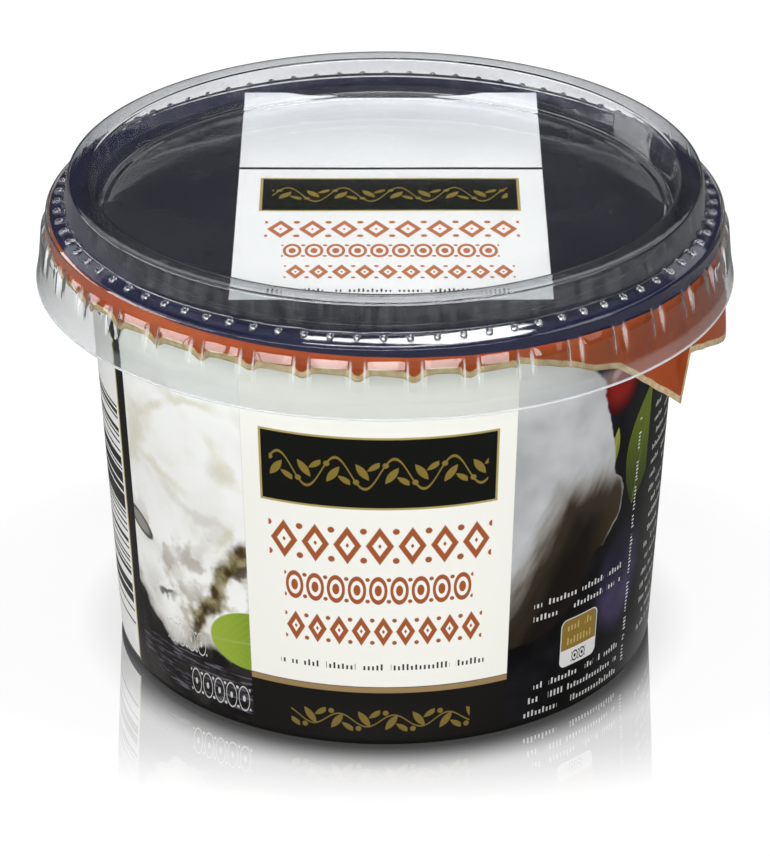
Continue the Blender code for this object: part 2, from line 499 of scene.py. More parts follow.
# %% Spinning an outline
def turned(points, columns):
    """Spin an outline about the axis; every vertex remembers its row and its column."""
    skin = bmesh.new()
    row = skin.verts.layers.int.new("row")
    column = skin.verts.layers.int.new("column")
    chain = []
    for index, point in enumerate(points):
        vertex = skin.verts.new((point.x * MM, 0.0, point.y * MM))
        vertex[row] = index
        chain.append(vertex)
    edges = [skin.edges.new(pair) for pair in zip(chain, chain[1:])]
    bmesh.ops.spin(skin, geom=chain + edges, cent=(0, 0, 0), axis=(0, 0, 1), angle=2 * math.pi,
                   steps=columns, use_merge=True)
    bmesh.ops.remove_doubles(skin, verts=skin.verts, dist=WELD)
    step = 2 * math.pi / columns
    for vertex in skin.verts:
        vertex[column] = round(math.atan2(vertex.co.y, vertex.co.x) / step) % columns
    return skin, row, column

# %% Finishing a piece
def polar(radius, degrees, height):
    """A point so many degrees round from the front towards the right, in metres."""
    angle = math.radians(degrees)
    return Vector((radius * math.sin(angle), -radius * math.cos(angle), height)) * MM


def face_out(skin):
    """Make a round skin's faces point up at its top and outwards at its side."""
    bmesh.ops.recalc_face_normals(skin, faces=skin.faces)
    top = max(skin.faces, key=lambda face: face.calc_center_median().z)
    if top.normal.z < 0:
        bmesh.ops.reverse_faces(skin, faces=skin.faces)


def piece(name, skin, material, node=None, wall=0.0):
    """Turn a bmesh into a finished piece: shaded smooth, riding on the pack, with its wall if it has one."""
    mesh = bpy.data.meshes.new(name)
    skin.to_mesh(mesh)
    skin.free()
    mesh.shade_smooth()
    mesh.materials.append(material)
    made = bpy.data.objects.new(name, mesh)
    bpy.context.scene.collection.objects.link(made)
    if wall:
        solidify = made.modifiers.new("wall", "SOLIDIFY")
        solidify.thickness = wall * MM
        solidify.offset = -1.0
        solidify.use_even_offset = True
    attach(made, "root")
    if node:
        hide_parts(node)
    print(name, len(mesh.vertices), "vertices,", len(mesh.polygons), "faces")


def smoothstep(value, start, end):
    share = min(1.0, max(0.0, (value - start) / (end - start)))
    return share * share * (3.0 - 2.0 * share)


def along(points, position):
    """Value at a position on a chain of (position, value) pairs, straight between them."""
    if position <= points[0][0]:
        return points[0][1]
    for (start, first), (end, last) in zip(points, points[1:]):
        if position <= end:
            return first + (last - first) * (position - start) / (end - start)
    return points[-1][1]


print("outline helpers ready")

# %% [markdown]
# ## Shapes for the print
#
# All print on this pack is drawn by shader groups, each of which answers one question: is this point
# inside the shape?  A ruler group first turns the place on the tub into millimetres across and up, as if
# the label were laid flat.  The real label shows the same design at the front and at the back, so the
# ruler folds the back onto the front.  A field is a rectangle, a blob is an ellipse with a wobbling edge,
# and a petal is the lens between two arcs, which serves for leaves and for ornaments.

# %% Print shapes: ruler and field
PRINT_R = 41.0
PRINT_EDGE = 0.06
NUMBER = "NodeSocketFloat"


def numbers(*labels):
    return [(label, NUMBER) for label in labels]


def make_ruler():
    """Place on the wall, in metres, to millimetres across and up the label, and the true turn."""
    tree, given, wanted = group("round_ruler", [("Place", "NodeSocketVector")], ["Across", "Up", "Turn"])
    x, y, z = apart(given["Place"])
    turn = calculate("ARCTAN2", x, y * -1.0)
    quarter = math.pi / 2
    folded = (turn + quarter) % math.pi
    wire(wanted["Across"], (folded - quarter) * PRINT_R)
    wire(wanted["Up"], z / MM)
    wire(wanted["Turn"], turn)
    return tree


def make_field():
    """A rectangle; the distance outside it is the larger of the two overshoots."""
    labels = numbers("Across", "Up", "Left", "Right", "Low", "High")
    tree, given, wanted = group("field", labels, ["Mask"])
    beside = largest(given["Left"] - given["Across"], given["Across"] - given["Right"])
    beyond = largest(given["Low"] - given["Up"], given["Up"] - given["High"])
    outside = largest(beside, beyond)
    wire(wanted["Mask"], ease(outside, -PRINT_EDGE, PRINT_EDGE, 1.0, 0.0))
    return tree


RULER = make_ruler()
FIELD = make_field()


def field(spot, left, right, low, high):
    made = use(FIELD, Across=spot[0], Up=spot[1], Left=left, Right=right, Low=low, High=high)
    return made["Mask"]


print("ruler and field ready")

# %% Print shapes: blobs and petals
def own_axes(given):
    """Turn a point about a shape's middle, so that the shape's long axis lies across."""
    across = given["Across"] - given["Middle Across"]
    up = given["Up"] - given["Middle Up"]
    cosine = calculate("COSINE", given["Turn"])
    sine = calculate("SINE", given["Turn"])
    length = across * cosine + up * sine
    width = up * cosine - across * sine
    return length, width


PLACED = ("Across", "Up", "Middle Across", "Middle Up", "Turn", "Length", "Width")


def make_blob():
    """An ellipse with a wobble added to its edge; Reach is 1 on the edge and 0 in the middle."""
    tree, given, wanted = group("soft_blob", numbers(*PLACED, "Wobble", "Softness"), ["Mask", "Reach"])
    length, width = own_axes(given)
    length = abs(length / given["Length"]) ** 2.0
    width = abs(width / given["Width"]) ** 2.0
    reach = calculate("SQRT", length + width) + given["Wobble"]
    wire(wanted["Mask"], ease(reach, 1.0 - given["Softness"], 1.0 + given["Softness"], 1.0, 0.0))
    wire(wanted["Reach"], reach)
    return tree


def make_petal():
    """A lens pointed at both ends; Rib is the distance from its midrib and Along runs from -1 to 1."""
    tree, given, wanted = group("petal", numbers(*PLACED), ["Mask", "Rib", "Along"])
    length, width = own_axes(given)
    share = length / given["Length"]
    rib = abs(width)
    bulge = given["Width"] * (1.0 - share ** 2.0)
    wire(wanted["Mask"], ease(rib - bulge, -PRINT_EDGE, PRINT_EDGE, 1.0, 0.0))
    wire(wanted["Rib"], rib)
    wire(wanted["Along"], share)
    return tree


BLOB = make_blob()
PETAL = make_petal()


def blob(spot, middle, size, turn=0.0, wobble=0.0, softness=0.03):
    return use(BLOB, Across=spot[0], Up=spot[1], Middle_Across=middle[0], Middle_Up=middle[1], Turn=turn,
               Length=size[0], Width=size[1], Wobble=wobble, Softness=softness)


def petal(spot, middle, size, turn=0.0):
    return use(PETAL, Across=spot[0], Up=spot[1], Middle_Across=middle[0], Middle_Up=middle[1], Turn=turn,
               Length=size[0], Width=size[1])


print("blob and petal ready")

# %% [markdown]
# Where a pack carries words, this one carries ornaments of the same weight.  A title becomes a row of
# hollow beads, which are lozenges or rings by the power that their outline formula is given.  A
# signature becomes a vine: a sine wave with a leaf in each half wave, always on the inner side.  Small
# print becomes dashes of uneven length, and the bar code gets stripes from a random number per step.

# %% Print shapes: beads
def make_bead_row():
    """Beads in a row from Left to Right, each with an outline and a solid core, and dots between."""
    labels = numbers("Across", "Up", "Left", "Right", "Pitch", "Half Height", "Power", "Hollow")
    tree, given, wanted = group("bead_row", labels, ["Mask"])
    along_row = given["Across"] - given["Left"]
    cell = along_row % given["Pitch"] - given["Pitch"] * 0.5
    across = abs(cell) / (given["Pitch"] * 0.43)
    up = abs(given["Up"]) / given["Half Height"]
    reach = across ** given["Power"] + up ** given["Power"]
    whole = ease(reach, 0.96, 1.06, 1.0, 0.0)
    hole = ease(reach, given["Hollow"], given["Hollow"] + 0.08, 1.0, 0.0)
    core_size = (1.0 - given["Hollow"]) * 0.28
    core = ease(reach, core_size * 0.85, core_size, 1.0, 0.0)
    bead = whole - hole + core
    side = given["Pitch"] * 0.5 - abs(cell)
    high = abs(given["Up"]) - given["Half Height"] * 0.78
    gap = calculate("SQRT", side * side + high * high)
    dot = given["Pitch"] * 0.105
    dots = ease(gap, dot * 0.88, dot * 1.12, 1.0, 0.0)
    row = use(FIELD, Across=given["Across"], Up=given["Up"], Left=given["Left"], Right=given["Right"],
              Low=-9.0, High=9.0)["Mask"]
    wire(wanted["Mask"], calculate("MULTIPLY", largest(bead, dots), row, clamp=True))
    return tree

# %% Print shapes: vine
VINE_PITCH = 8.0


def make_vine():
    """A wavy stem with a leaf and a berry in each half wave; Height is the wave's half height."""
    tree, given, wanted = group("vine", numbers("Across", "Up", "Height", "Stem"), ["Mask"])
    wave = given["Height"] * calculate("SINE", given["Across"] * (2 * math.pi / VINE_PITCH))
    off = abs(given["Up"] - wave)
    stem = ease(off - given["Stem"], -0.08, 0.08, 1.0, 0.0)
    half = VINE_PITCH / 2
    count = calculate("FLOOR", given["Across"] / half)
    side = 1.0 - 2.0 * (count % 2.0)
    across = given["Across"] % half - half / 2
    spot = (across, given["Up"] * side)
    leaf = petal(spot, (-0.35, -0.25), (1.55, 0.55), 0.95)["Mask"]
    second = petal(spot, (1.35, -1.15), (1.25, 0.42), -0.6)["Mask"]
    berry = blob(spot, (-1.2, 1.35), (0.42, 0.42), softness=0.15)["Mask"]
    leaves = largest(leaf, second, berry)
    wire(wanted["Mask"], largest(stem, leaves))
    return tree

# %% Print shapes: dashes
TICK_SHARE = 0.46


def make_dashes():
    """Lines of ticks of two heights; a cell of a line is left blank where its random number is low."""
    labels = numbers("Along", "Aside", "Cell", "Pitch", "Weight", "Seed", "Blank")
    tree, given, wanted = group("dashes", labels, ["Mask"])
    line = calculate("FLOOR", given["Aside"] / given["Pitch"])
    cell = calculate("FLOOR", given["Along"] / given["Cell"])
    inked = dice(point_at(cell, line, given["Seed"])) > given["Blank"]
    share = calculate("FRACT", given["Aside"] / given["Pitch"])
    tick = given["Along"] / (given["Cell"] * 0.73)
    tall = dice(point_at(calculate("FLOOR", tick), line, given["Seed"]))
    top = given["Weight"] * ease(tall, 0.55, 0.75, 0.35, 1.0)
    off = share - 0.5
    on_line = (off < top) * (off > given["Weight"] * -1.0)
    ticks = calculate("FRACT", tick) < TICK_SHARE
    wire(wanted["Mask"], inked * on_line * ticks)
    return tree


BEADS = make_bead_row()
VINE = make_vine()
DASHES = make_dashes()


def beads(spot, middle_up, left, right, pitch, half_height, power, hollow):
    up = spot[1] - middle_up
    return use(BEADS, Across=spot[0], Up=up, Left=left, Right=right, Pitch=pitch, Half_Height=half_height,
               Power=power, Hollow=hollow)["Mask"]


def dashes(along_line, aside, cell, pitch, weight, seed, blank=0.2):
    return use(DASHES, Along=along_line, Aside=aside, Cell=cell, Pitch=pitch, Weight=weight, Seed=seed,
               Blank=blank)["Mask"]


def round_field(spot, box, bend):
    """A field with round corners."""
    beyond = []
    for value, start, end in zip(spot, box[::2], box[1::2]):
        off = abs(value - (start + end) / 2)
        beyond.append(largest(off - ((end - start) / 2 - bend), 0.0))
    return ease(distance(*beyond), bend - PRINT_EDGE, bend + PRINT_EDGE, 1.0, 0.0)


print("ornaments ready")

# %% [markdown]
# ## The clear lid
#
# It is one thin sheet of clear plastic, pressed hot over a mould: a flat panel, a raised ring that keeps
# a stack of tubs from sliding, a sloping shoulder, and a skirt that snaps under the rim.  The skirt is
# stiffened by forty panels that stand a little proud, with narrow grooves between them.  The sheet is
# spun first, and then each vertex of the skirt is pushed out by how far it lies inside a panel, so all
# of it stays one smooth skin.  A Solidify modifier gives it its wall.

# %% Clear lid: section
SNAPS = 40
SNAP_START = 4.7
SNAP_PITCH = 360.0 / SNAPS
LID_WALL = 0.3
PANEL_Z = FILM_TOP - 0.5
PANEL_END = 39.0
RING_FOOT = (46.0, 68.1)
SHOULDER_EDGE = (48.05, 67.2)
SKIRT_R = 48.4
LEDGE_TOP = 65.4
LEDGE_FOOT = 63.95
GROOVE_FOOT = 64.2
GROOVE_END = 60.8
FLARE_TOP = 59.2
GROOVE_HALF = 1.18
GROOVE_SOFT = 0.55
PROUD = ((FLARE_TOP, 49.62), (60.0, 49.5), (LEDGE_FOOT, 49.15), (LEDGE_TOP, SKIRT_R))
FLARE = ((LIP_BOTTOM, 50.0), (57.6, 49.88), (FLARE_TOP, 49.62))

LID_CORNERS = (
    (0.0, PANEL_Z, 0.0), (39.7, PANEL_Z, 0.2), (40.1, PANEL_Z + 0.4, 0.25), (41.0, PANEL_Z + 0.4, 0.35),
    (41.85, CREST_TOP, 0.45), (45.1, CREST_TOP - 0.05, 0.5), (*RING_FOOT, 0.45), (*SHOULDER_EDGE, 0.35),
    (SKIRT_R, 66.75, 0.3), (SKIRT_R, LEDGE_TOP, 0.0), (SKIRT_R, FLARE_TOP, 0.0), (50.0, LIP_BOTTOM, 0.0))
LID_COLUMNS = SNAPS * 14
# Degrees past a groove's middle of the fourteen columns of one panel, close together at its two sides
PANEL_COLUMNS = (0.0, 0.76, 0.97, 1.18, 1.39, 1.6, 3.0, 4.5, 6.0, 7.4, 7.61, 7.82, 8.03, 8.24)


def lid_spacing(radius, height):
    """Long stretches on the panel, short ones where the snap panels and the ring's ripples are."""
    if radius < PANEL_END:
        return 5.0
    if LEDGE_FOOT - 0.45 < height < LEDGE_TOP + 0.4:
        return 0.16
    if height < LEDGE_TOP + 0.6:
        return 0.3
    return 0.8


def groove_distance(degrees):
    """Degrees to the nearest groove's middle."""
    return abs((degrees - SNAP_START + SNAP_PITCH / 2) % SNAP_PITCH - SNAP_PITCH / 2)


def skirt_radius(degrees, height):
    """Radius of the skirt's outer face: proud on a snap panel, and set back in a groove."""
    if height > LEDGE_TOP:
        return None
    if height < FLARE_TOP:
        return along(FLARE, height)
    proud = along(PROUD, height)
    if height < GROOVE_END:
        return proud
    groove = along(((GROOVE_END, along(PROUD, GROOVE_END)), (GROOVE_FOOT, SKIRT_R)), height)
    away = groove_distance(degrees)
    return groove + (proud - groove) * smoothstep(away, GROOVE_HALF - GROOVE_SOFT, GROOVE_HALF + GROOVE_SOFT)


print(SNAPS, "snap panels,", LID_COLUMNS, "columns")

# %% Clear lid: mesh
RIPPLE = 0.08
RIPPLES = 24.0
RIPPLE_DRAWN_OUT = 0.04
RING_WALLS = (41.2, 46.2)
PANEL_WAVE = 0.05
PANEL_WAVES = 60.0


def ripple(degrees, height):
    """Faint upright ripples that the ring's wall keeps from the mould."""
    angle = math.radians(degrees)
    place = (RIPPLES * math.cos(angle), RIPPLES * math.sin(angle), height * RIPPLE_DRAWN_OUT)
    flute = noise.noise(Vector(place))
    return RIPPLE * flute * smoothstep(abs(flute), 0.2, 0.45)


def clear_lid_skin():
    skin, _, column = turned(refined(rounded(LID_CORNERS), lid_spacing), LID_COLUMNS)
    for vertex in skin.verts:
        snap, place = divmod(vertex[column], len(PANEL_COLUMNS))
        degrees = SNAP_START + SNAP_PITCH * snap + PANEL_COLUMNS[place]
        radius = math.hypot(vertex.co.x, vertex.co.y) / MM
        height = vertex.co.z / MM
        if radius < PANEL_END:
            height += PANEL_WAVE * noise.noise(polar(radius, degrees, 0.0) * PANEL_WAVES)
        elif RING_WALLS[0] < radius < RING_WALLS[1] and RING_FOOT[1] < height < CREST_TOP - 0.5:
            radius += ripple(degrees, height)
        elif height <= LEDGE_TOP:
            radius = skirt_radius(degrees, height)
        vertex.co = polar(radius, degrees, height)
    face_out(skin)
    return skin

# %% [markdown]
# Clear plastic has no colour of its own to speak of, but it isn't even: the cut edge of the lip looks milky,
# and a steep view through the wall looks greyer than a straight one.  So the material is a glassy sheet with
# a tint by Layer Weight, and a little white scattering mixed in by height.  Besides the milky cut edge, that
# white is painted light: a painted reflection on the lip and up the ring's wall, and painted highlights
# along the grooves' sides.  The skirt is tinted darker, as painted shade for the rim's shadow on the tub
# behind it.
# A lamp's light passes through it as if it were a pale filter, darker on the skirt for the same painted
# shade.

# %% Clear lid: plastic
# Shares of white scattering: milky at the cut edge, painted reflection on the lip, painted highlight along
# the grooves' sides and painted reflection streaks on the ring
CUT_MILK = 0.60
FLARE_REFLECTION = 0.04
SIDE_HIGHLIGHT = 0.34
SIDE_WIDTH = 0.32
RING_REFLECTION = 0.012
STREAK_DRAWN_OUT = 0.00004
# Colour of the white scattering: milky plastic at the cut edge, painted highlight and painted reflection
# elsewhere
MILK_AND_SHEEN = rgb(0.90, 0.92, 0.95)
GROOVE_TINT = rgb(0.88, 0.90, 0.90)
# Tints of the sheet seen straight on and seen at a slant; the skirt's is darker, painted shade for the rim's
# shadow on the tub wall seen through it
TOP_TINT = (rgb(0.94, 0.95, 0.955), rgb(0.60, 0.62, 0.65))
RING_TINT = (rgb(0.85, 0.86, 0.875), rgb(0.52, 0.54, 0.58))
SKIRT_TINT_AND_SHADE = (rgb(0.735, 0.755, 0.75), rgb(0.50, 0.52, 0.53))
# Filters for lamp light through the sheet; the skirt's is darker, painted shade on the tub wall behind it
TOP_SHADE = rgb(0.95, 0.96, 0.96)
SKIRT_SHADE = rgb(0.82, 0.835, 0.82)


def groove_masks(x, y, height):
    """Two masks: a groove's two sides, where a painted highlight runs, and the whole groove."""
    turn = calculate("ARCTAN2", x, y * -1.0)
    steps = (turn - math.radians(SNAP_START)) / math.radians(SNAP_PITCH)
    share = calculate("FRACT", steps + 1.5)
    away = abs(share - 0.5) * SNAP_PITCH
    side = abs(away - GROOVE_HALF)
    high = ease(height, GROOVE_END, GROOVE_FOOT - 1.0) * ease(height, LEDGE_FOOT, LEDGE_TOP, 1.0, 0.0)
    # The pale line along each groove side is a painted highlight
    line = ease(side, 0.0, SIDE_WIDTH, 1.0, 0.0) * high
    whole = ease(away, GROOVE_HALF + GROOVE_SOFT, GROOVE_HALF + GROOVE_SOFT + 0.2, 1.0, 0.0)
    return line, whole * high


def ring_reflection_streaks(x, y, height):
    """Faint pale streaks up the ring's outer wall: painted reflection."""
    streak = ease(cloud(point_at(x, y, height * STREAK_DRAWN_OUT), 900.0, 1.0), 0.40, 0.70, 0.4, 1.6)
    foot = ease(height, RING_FOOT[1] + 0.2, RING_FOOT[1] + 0.8)
    crest = ease(height, CREST_TOP - 0.9, CREST_TOP - 0.3, 1.0, 0.0)
    return streak * (foot * crest) * RING_REFLECTION

# %% Clear lid: piece
PLASTIC_IOR = 1.5
PLASTIC_ROUGHNESS = 0.03
UNEVEN_STRENGTH = 0.06
UNEVEN_HEIGHT = 0.0004


def clear_plastic():
    """Clear glossy sheet; lamps shine through it, as thin plastic casts hardly any shadow, but the skirt is
    tinted and filtered darker as painted shade on the tub behind it.
    """
    material, tree, output = shader_material("clear_plastic")
    sheet = tree.nodes.new("ShaderNodeBsdfPrincipled")
    sheet.inputs["Transmission Weight"].default_value = 1.0
    sheet.inputs["IOR"].default_value = PLASTIC_IOR
    sheet.inputs["Roughness"].default_value = PLASTIC_ROUGHNESS
    place = object_place(tree)
    x, y, z = apart(place)
    height = z / MM
    upper = ease(height, LEDGE_FOOT, LEDGE_TOP)
    slant = ease(read(tree, "ShaderNodeLayerWeight", "Facing"), 0.45, 1.0)
    line, whole = groove_masks(x, y, height)
    # The skirt's darker tint is painted shade: the rim's shadow on the tub wall seen through it
    tint = over(upper, over(slant, *SKIRT_TINT_AND_SHADE), over(slant, *TOP_TINT))
    tint = over(ease(height, 68.0, 69.5), tint, over(slant, *RING_TINT))
    wire(sheet.inputs["Base Color"], over(whole, tint, GROOVE_TINT))
    bump = tree.nodes.new("ShaderNodeBump")
    bump.inputs["Strength"].default_value = UNEVEN_STRENGTH
    bump.inputs["Distance"].default_value = UNEVEN_HEIGHT
    wire(bump.inputs["Height"], cloud(place, 260.0, 1.0))
    tree.links.new(bump.outputs[0], sheet.inputs["Normal"])
    # Milky at the cut edge; the white on the lip, along the grooves' sides and up the ring is painted
    # reflection and painted highlight
    cut = ease(height, LIP_BOTTOM + 0.12, LIP_BOTTOM + 0.30, CUT_MILK, FLARE_REFLECTION)
    haze = ease(height, FLARE_TOP - 0.6, FLARE_TOP + 0.4, cut, 0.0)
    haze = haze + line * SIDE_HIGHLIGHT + ring_reflection_streaks(x, y, height)
    body = covered(haze, Value(sheet.outputs[0]), plain_shader(tree, "ShaderNodeBsdfDiffuse", MILK_AND_SHEEN))
    # Lamp light through the skirt is dimmed more, as painted shade on the tub behind it
    through = plain_shader(tree, "ShaderNodeBsdfTransparent", over(upper, SKIRT_SHADE, TOP_SHADE))
    shadow = read(tree, "ShaderNodeLightPath", "Is Shadow Ray")
    wire(output.inputs[0], covered(shadow, body, through))
    return material


CLEAR = clear_plastic()
piece("clear_lid_sheet", clear_lid_skin(), CLEAR, "clear_lid", LID_WALL)

# %% [markdown]
# On the shoulder between the ring and the skirt there is a row of small ribs.  They are domes a
# millimetre wide, so each one is a low-cut sphere that is squashed, laid on the slope and turned to its
# place.  Eighty-two of them go into one mesh.

# %% Grip ribs
RIBS = 82
RIB_START = -0.2
RIB_SIZE = (1.05, 1.5, 0.95)
RIB_MIDDLE = (46.65, 67.8)
SHOULDER_SLOPE = math.atan2(RING_FOOT[1] - SHOULDER_EDGE[1], SHOULDER_EDGE[0] - RING_FOOT[0])


def grip_ribs_skin():
    skin = bmesh.new()
    width, length, rise = RIB_SIZE
    shape = Matrix.Diagonal((width / 2, length / 2, rise / 2, 1.0))
    lean = Matrix.Rotation(SHOULDER_SLOPE, 4, "X")
    for rib in range(RIBS):
        degrees = RIB_START + rib * 360.0 / RIBS
        spot = Matrix.Translation(polar(RIB_MIDDLE[0], degrees, RIB_MIDDLE[1]))
        turn = Matrix.Rotation(math.radians(degrees), 4, "Z")
        bmesh.ops.create_uvsphere(skin, u_segments=12, v_segments=8, radius=MM,
                                  matrix=spot @ turn @ lean @ shape)
    return skin


piece("grip_ribs", grip_ribs_skin(), CLEAR)

# %% [markdown]
# ## The peel-off lid
#
# A stiff printed film is sealed to the rim and folded down over it.  Where the clear lid's grooves press
# on the folded edge it comes out in small scallops, and at the front right a wide pull tab hangs down,
# creased where it was pushed under the skirt.  The same spin gives the disc and the fold.  Then the
# lower rows are stretched to reach the cut edge, whose height is a function of the place round the rim.
# Each vertex also stores how far it is from the cut edge, so the material can leave a plain border there.

# %% Peel-off lid: the cut edge
FILM_COLUMNS = SNAPS * 15
FILM_WALL = 0.14
FILM_R = 47.75
FILM_FOLD_Z = FILM_TOP - 0.9
FILM_DIP = FILM_TOP - 0.95
DISH_DEPTH = 0.3
DISH_SIDE = (24.0, 40.0)
DISH_END = 41.0
DISH_WAVE = 0.07
DISH_WAVES = 45.0
HANG_ROWS = 14
CUT_Z = 62.85
SCALLOP = 1.1
SCALLOP_WIDTH = 1.5
TAB_FOLD = 59.1
TAB_CUT = ((22.0, CUT_Z), (27.0, 61.9), (36.0, 59.3), (41.5, 58.0), (59.0, 47.2), (59.2, 55.3),
           (66.0, 53.7), (74.0, 51.5), (75.8, 51.45), (77.0, 52.3), (78.2, 55.5), (80.5, 58.8), (86.0, 61.0),
           (94.0, 62.2), (97.0, CUT_Z))


def wander(degrees, size, seed):
    """Slow noise round the rim that closes on itself."""
    angle = math.radians(degrees)
    return noise.noise(Vector((size * math.cos(angle), size * math.sin(angle), seed)))


def cut_height(degrees):
    """Height of the film's cut edge: scallops at the grooves, and the tab."""
    if TAB_CUT[0][0] < degrees < TAB_CUT[-1][0]:
        return along(TAB_CUT, degrees) + 0.12 * wander(degrees, 30.0, 3.0)
    drop = math.exp(-(groove_distance(degrees) / SCALLOP_WIDTH) ** 2.5)
    depth = SCALLOP * (1.0 + 0.35 * wander(degrees, 6.0, 1.0))
    return CUT_Z - depth * drop + 0.35 * wander(degrees, 9.0, 5.0)


def hang_radius(degrees, height):
    """How far out the folded skirt hangs: flat against the rim, springing out where the tab is free."""
    lug = smoothstep(groove_distance(degrees), 0.8, 2.6)
    loose = smoothstep(height, FILM_FOLD_Z, CUT_Z)
    out = FILM_R + loose * (0.45 * lug + 0.12 * wander(degrees, 16.0, 8.0))
    if height >= 60.0:
        return out
    if degrees < TAB_FOLD:
        return along(((47.2, 48.1), (60.0, out)), height) + 0.25 * wander(degrees, 12.0, 2.0)
    return along(((51.4, 49.8), (57.1, 49.15), (60.0, out)), height)


print("the tab reaches down to", round(cut_height(TAB_FOLD), 1), "mm")

# %% Peel-off lid: mesh
CLOSE_UP = 2.0


def film_degrees(column):
    """Even columns, except that the ones beside the tab's crease close up on it."""
    degrees = column * 360.0 / FILM_COLUMNS
    away = degrees - TAB_FOLD
    if abs(away) < CLOSE_UP:
        return TAB_FOLD + math.copysign(CLOSE_UP * (abs(away) / CLOSE_UP) ** 1.5, away)
    return degrees


def film_skin():
    corners = ((0.0, FILM_DIP, 0.0), (41.6, FILM_DIP, 0.8), (43.6, FILM_TOP, 0.8), (FILM_R, FILM_TOP, 0.75),
               (FILM_R, FILM_FOLD_Z, 0.0))
    outline = refined(rounded(corners), lambda radius, height: 3.0)
    fold_row = len(outline) - 1
    outline += [outline[-1] - Vector((0.0, 0.1 * (step + 1))) for step in range(HANG_ROWS)]
    skin, row, column = turned(outline, FILM_COLUMNS)
    to_cut = skin.verts.layers.float.new("to_cut")
    for vertex in skin.verts:
        degrees = film_degrees(vertex[column])
        radius = math.hypot(vertex.co.x, vertex.co.y) / MM
        height = vertex.co.z / MM
        lowest = cut_height(degrees)
        if vertex[row] > fold_row:
            share = (vertex[row] - fold_row) / HANG_ROWS
            height = FILM_FOLD_Z + (lowest - FILM_FOLD_Z) * share
            radius = hang_radius(degrees, height)
        elif radius < DISH_END:
            height -= DISH_DEPTH * (1.0 - smoothstep(radius, *DISH_SIDE))
            height += DISH_WAVE * noise.noise(polar(radius, degrees, 0.0) * DISH_WAVES)
        slope = (cut_height(degrees + 0.5) - cut_height(degrees - 0.5)) / math.radians(FILM_R)
        vertex[to_cut] = (height - lowest) / math.hypot(1.0, min(1.2, abs(slope)))
        vertex.co = polar(radius, degrees, height)
    face_out(skin)
    return skin

# %% [markdown]
# The film is charcoal with a white panel that runs from the back to the front of the disc.  Past the
# fold it turns terracotta, and the cut edge keeps a border of bare, beige film.  The dark disc was
# printed a little off centre, as often happens, so its edge lies high on the left and low on the right.
# The fold is unrolled to find it: a point's distance from the middle is measured along the film.

# %% Peel-off lid: inks and ornaments
# Boxes are left, right, low and high, in millimetres from the disc's middle
FILM_PANEL = (-21.2, 22.9, -31.0, 41.0)
FILM_LINE = (-21.2, 22.9, 14.1, 14.9)
FILM_BOX = (-18.0, 19.4, -0.8, 11.0)
FILM_SMALL = (-17.0, 19.0, -29.0, -26.4)
# Title rows: middle height, left and right end, pitch, half height, power of the outline, hollow share
FILM_TITLE = ((-7.0, -17.0, 19.0, 4.5, 3.0, 1.0, 0.5), (-14.4, -14.5, 16.0, 3.05, 2.3, 2.0, 0.42),
              (-21.5, -14.0, 18.0, 3.2, 2.4, 1.0, 0.4))
FRAME = 0.4
BORDER = 0.9
TAB_BORDER = 0.85
DARK_DISC_R = 49.25
DARK_DISC_SHIFT = 1.35
INK_EDGE = 0.07
FILM_GLOSS = 0.12
FILM_ROUGHNESS = 0.16
# The panel's white, and the same white with painted shade, used towards the back of the disc
FILM_WHITE_AND_SHADE = (rgb(0.93, 0.93, 0.92), rgb(0.73, 0.74, 0.765))
CHARCOAL = (rgb(0.014, 0.015, 0.022), rgb(0.025, 0.027, 0.034))
CHARCOAL_RIM = rgb(0.011, 0.012, 0.036)
TERRACOTTA_SIDE = (rgb(0.33, 0.058, 0.013), rgb(0.40, 0.088, 0.025))
BARE_FILM = (rgb(0.46, 0.35, 0.18), rgb(0.62, 0.50, 0.30))
TERRACOTTA_TOP = rgb(0.50, 0.165, 0.06)
GOLD_FRAME = rgb(0.434, 0.352, 0.125)
GOLD_INK = rgb(0.238, 0.171, 0.033)
BOX_BLACK = rgb(0.008, 0.009, 0.007)


def grown(box, by):
    """A field's edges moved outwards, or inwards for a negative number."""
    left, right, low, high = box
    return left - by, right + by, low - by, high + by


def ink_layer(tree, colour, gloss, roughness):
    """A printed plastic surface with a satin gloss."""
    shader = tree.nodes.new("ShaderNodeBsdfPrincipled")
    shader.inputs["Specular IOR Level"].default_value = gloss
    shader.inputs["Roughness"].default_value = roughness
    wire(shader.inputs["Base Color"], colour)
    return Value(shader.outputs[0])


def title_rows(spot, rows):
    """Rows of beads, each from its height, left and right end, pitch, half height, power and hollow."""
    return largest(*[beads(spot, *row) for row in rows])


def sprig(spot, across, up, height, stem, box):
    """A vine along a line, kept inside a box."""
    vine = use(VINE, Across=across, Up=up, Height=height, Stem=stem)["Mask"]
    return inside(vine, field(spot, *box))


def small_print(spot, along_line, aside, box, **line):
    """Lines of dashes, kept inside a box."""
    return inside(dashes(along_line, aside, **line), field(spot, *box))

# %% Peel-off lid: title and ground
def film_title(spot):
    """The white panel on the disc, with painted shade towards the back, its box, its title rows and its
    small print.
    """
    across, up = spot
    small = small_print(spot, across, up + 29.1, FILM_SMALL, cell=0.85, pitch=2.9, weight=0.2, seed=3.0)
    # The white panel gets painted shade, darker towards the back of the disc
    return painted(
        over(ease(up, 12.0, 36.0), *FILM_WHITE_AND_SHADE),
        (field(spot, *FILM_LINE), BOX_BLACK),
        (title_rows(spot, FILM_TITLE), TERRACOTTA_TOP),
        (small, rgb(0.06, 0.06, 0.06)),
        (field(spot, *FILM_BOX), GOLD_FRAME),
        (field(spot, *grown(FILM_BOX, -FRAME)), BOX_BLACK),
        (sprig(spot, across, up - 5.1, 2.4, 0.21, grown(FILM_BOX, -1.8)), GOLD_INK))


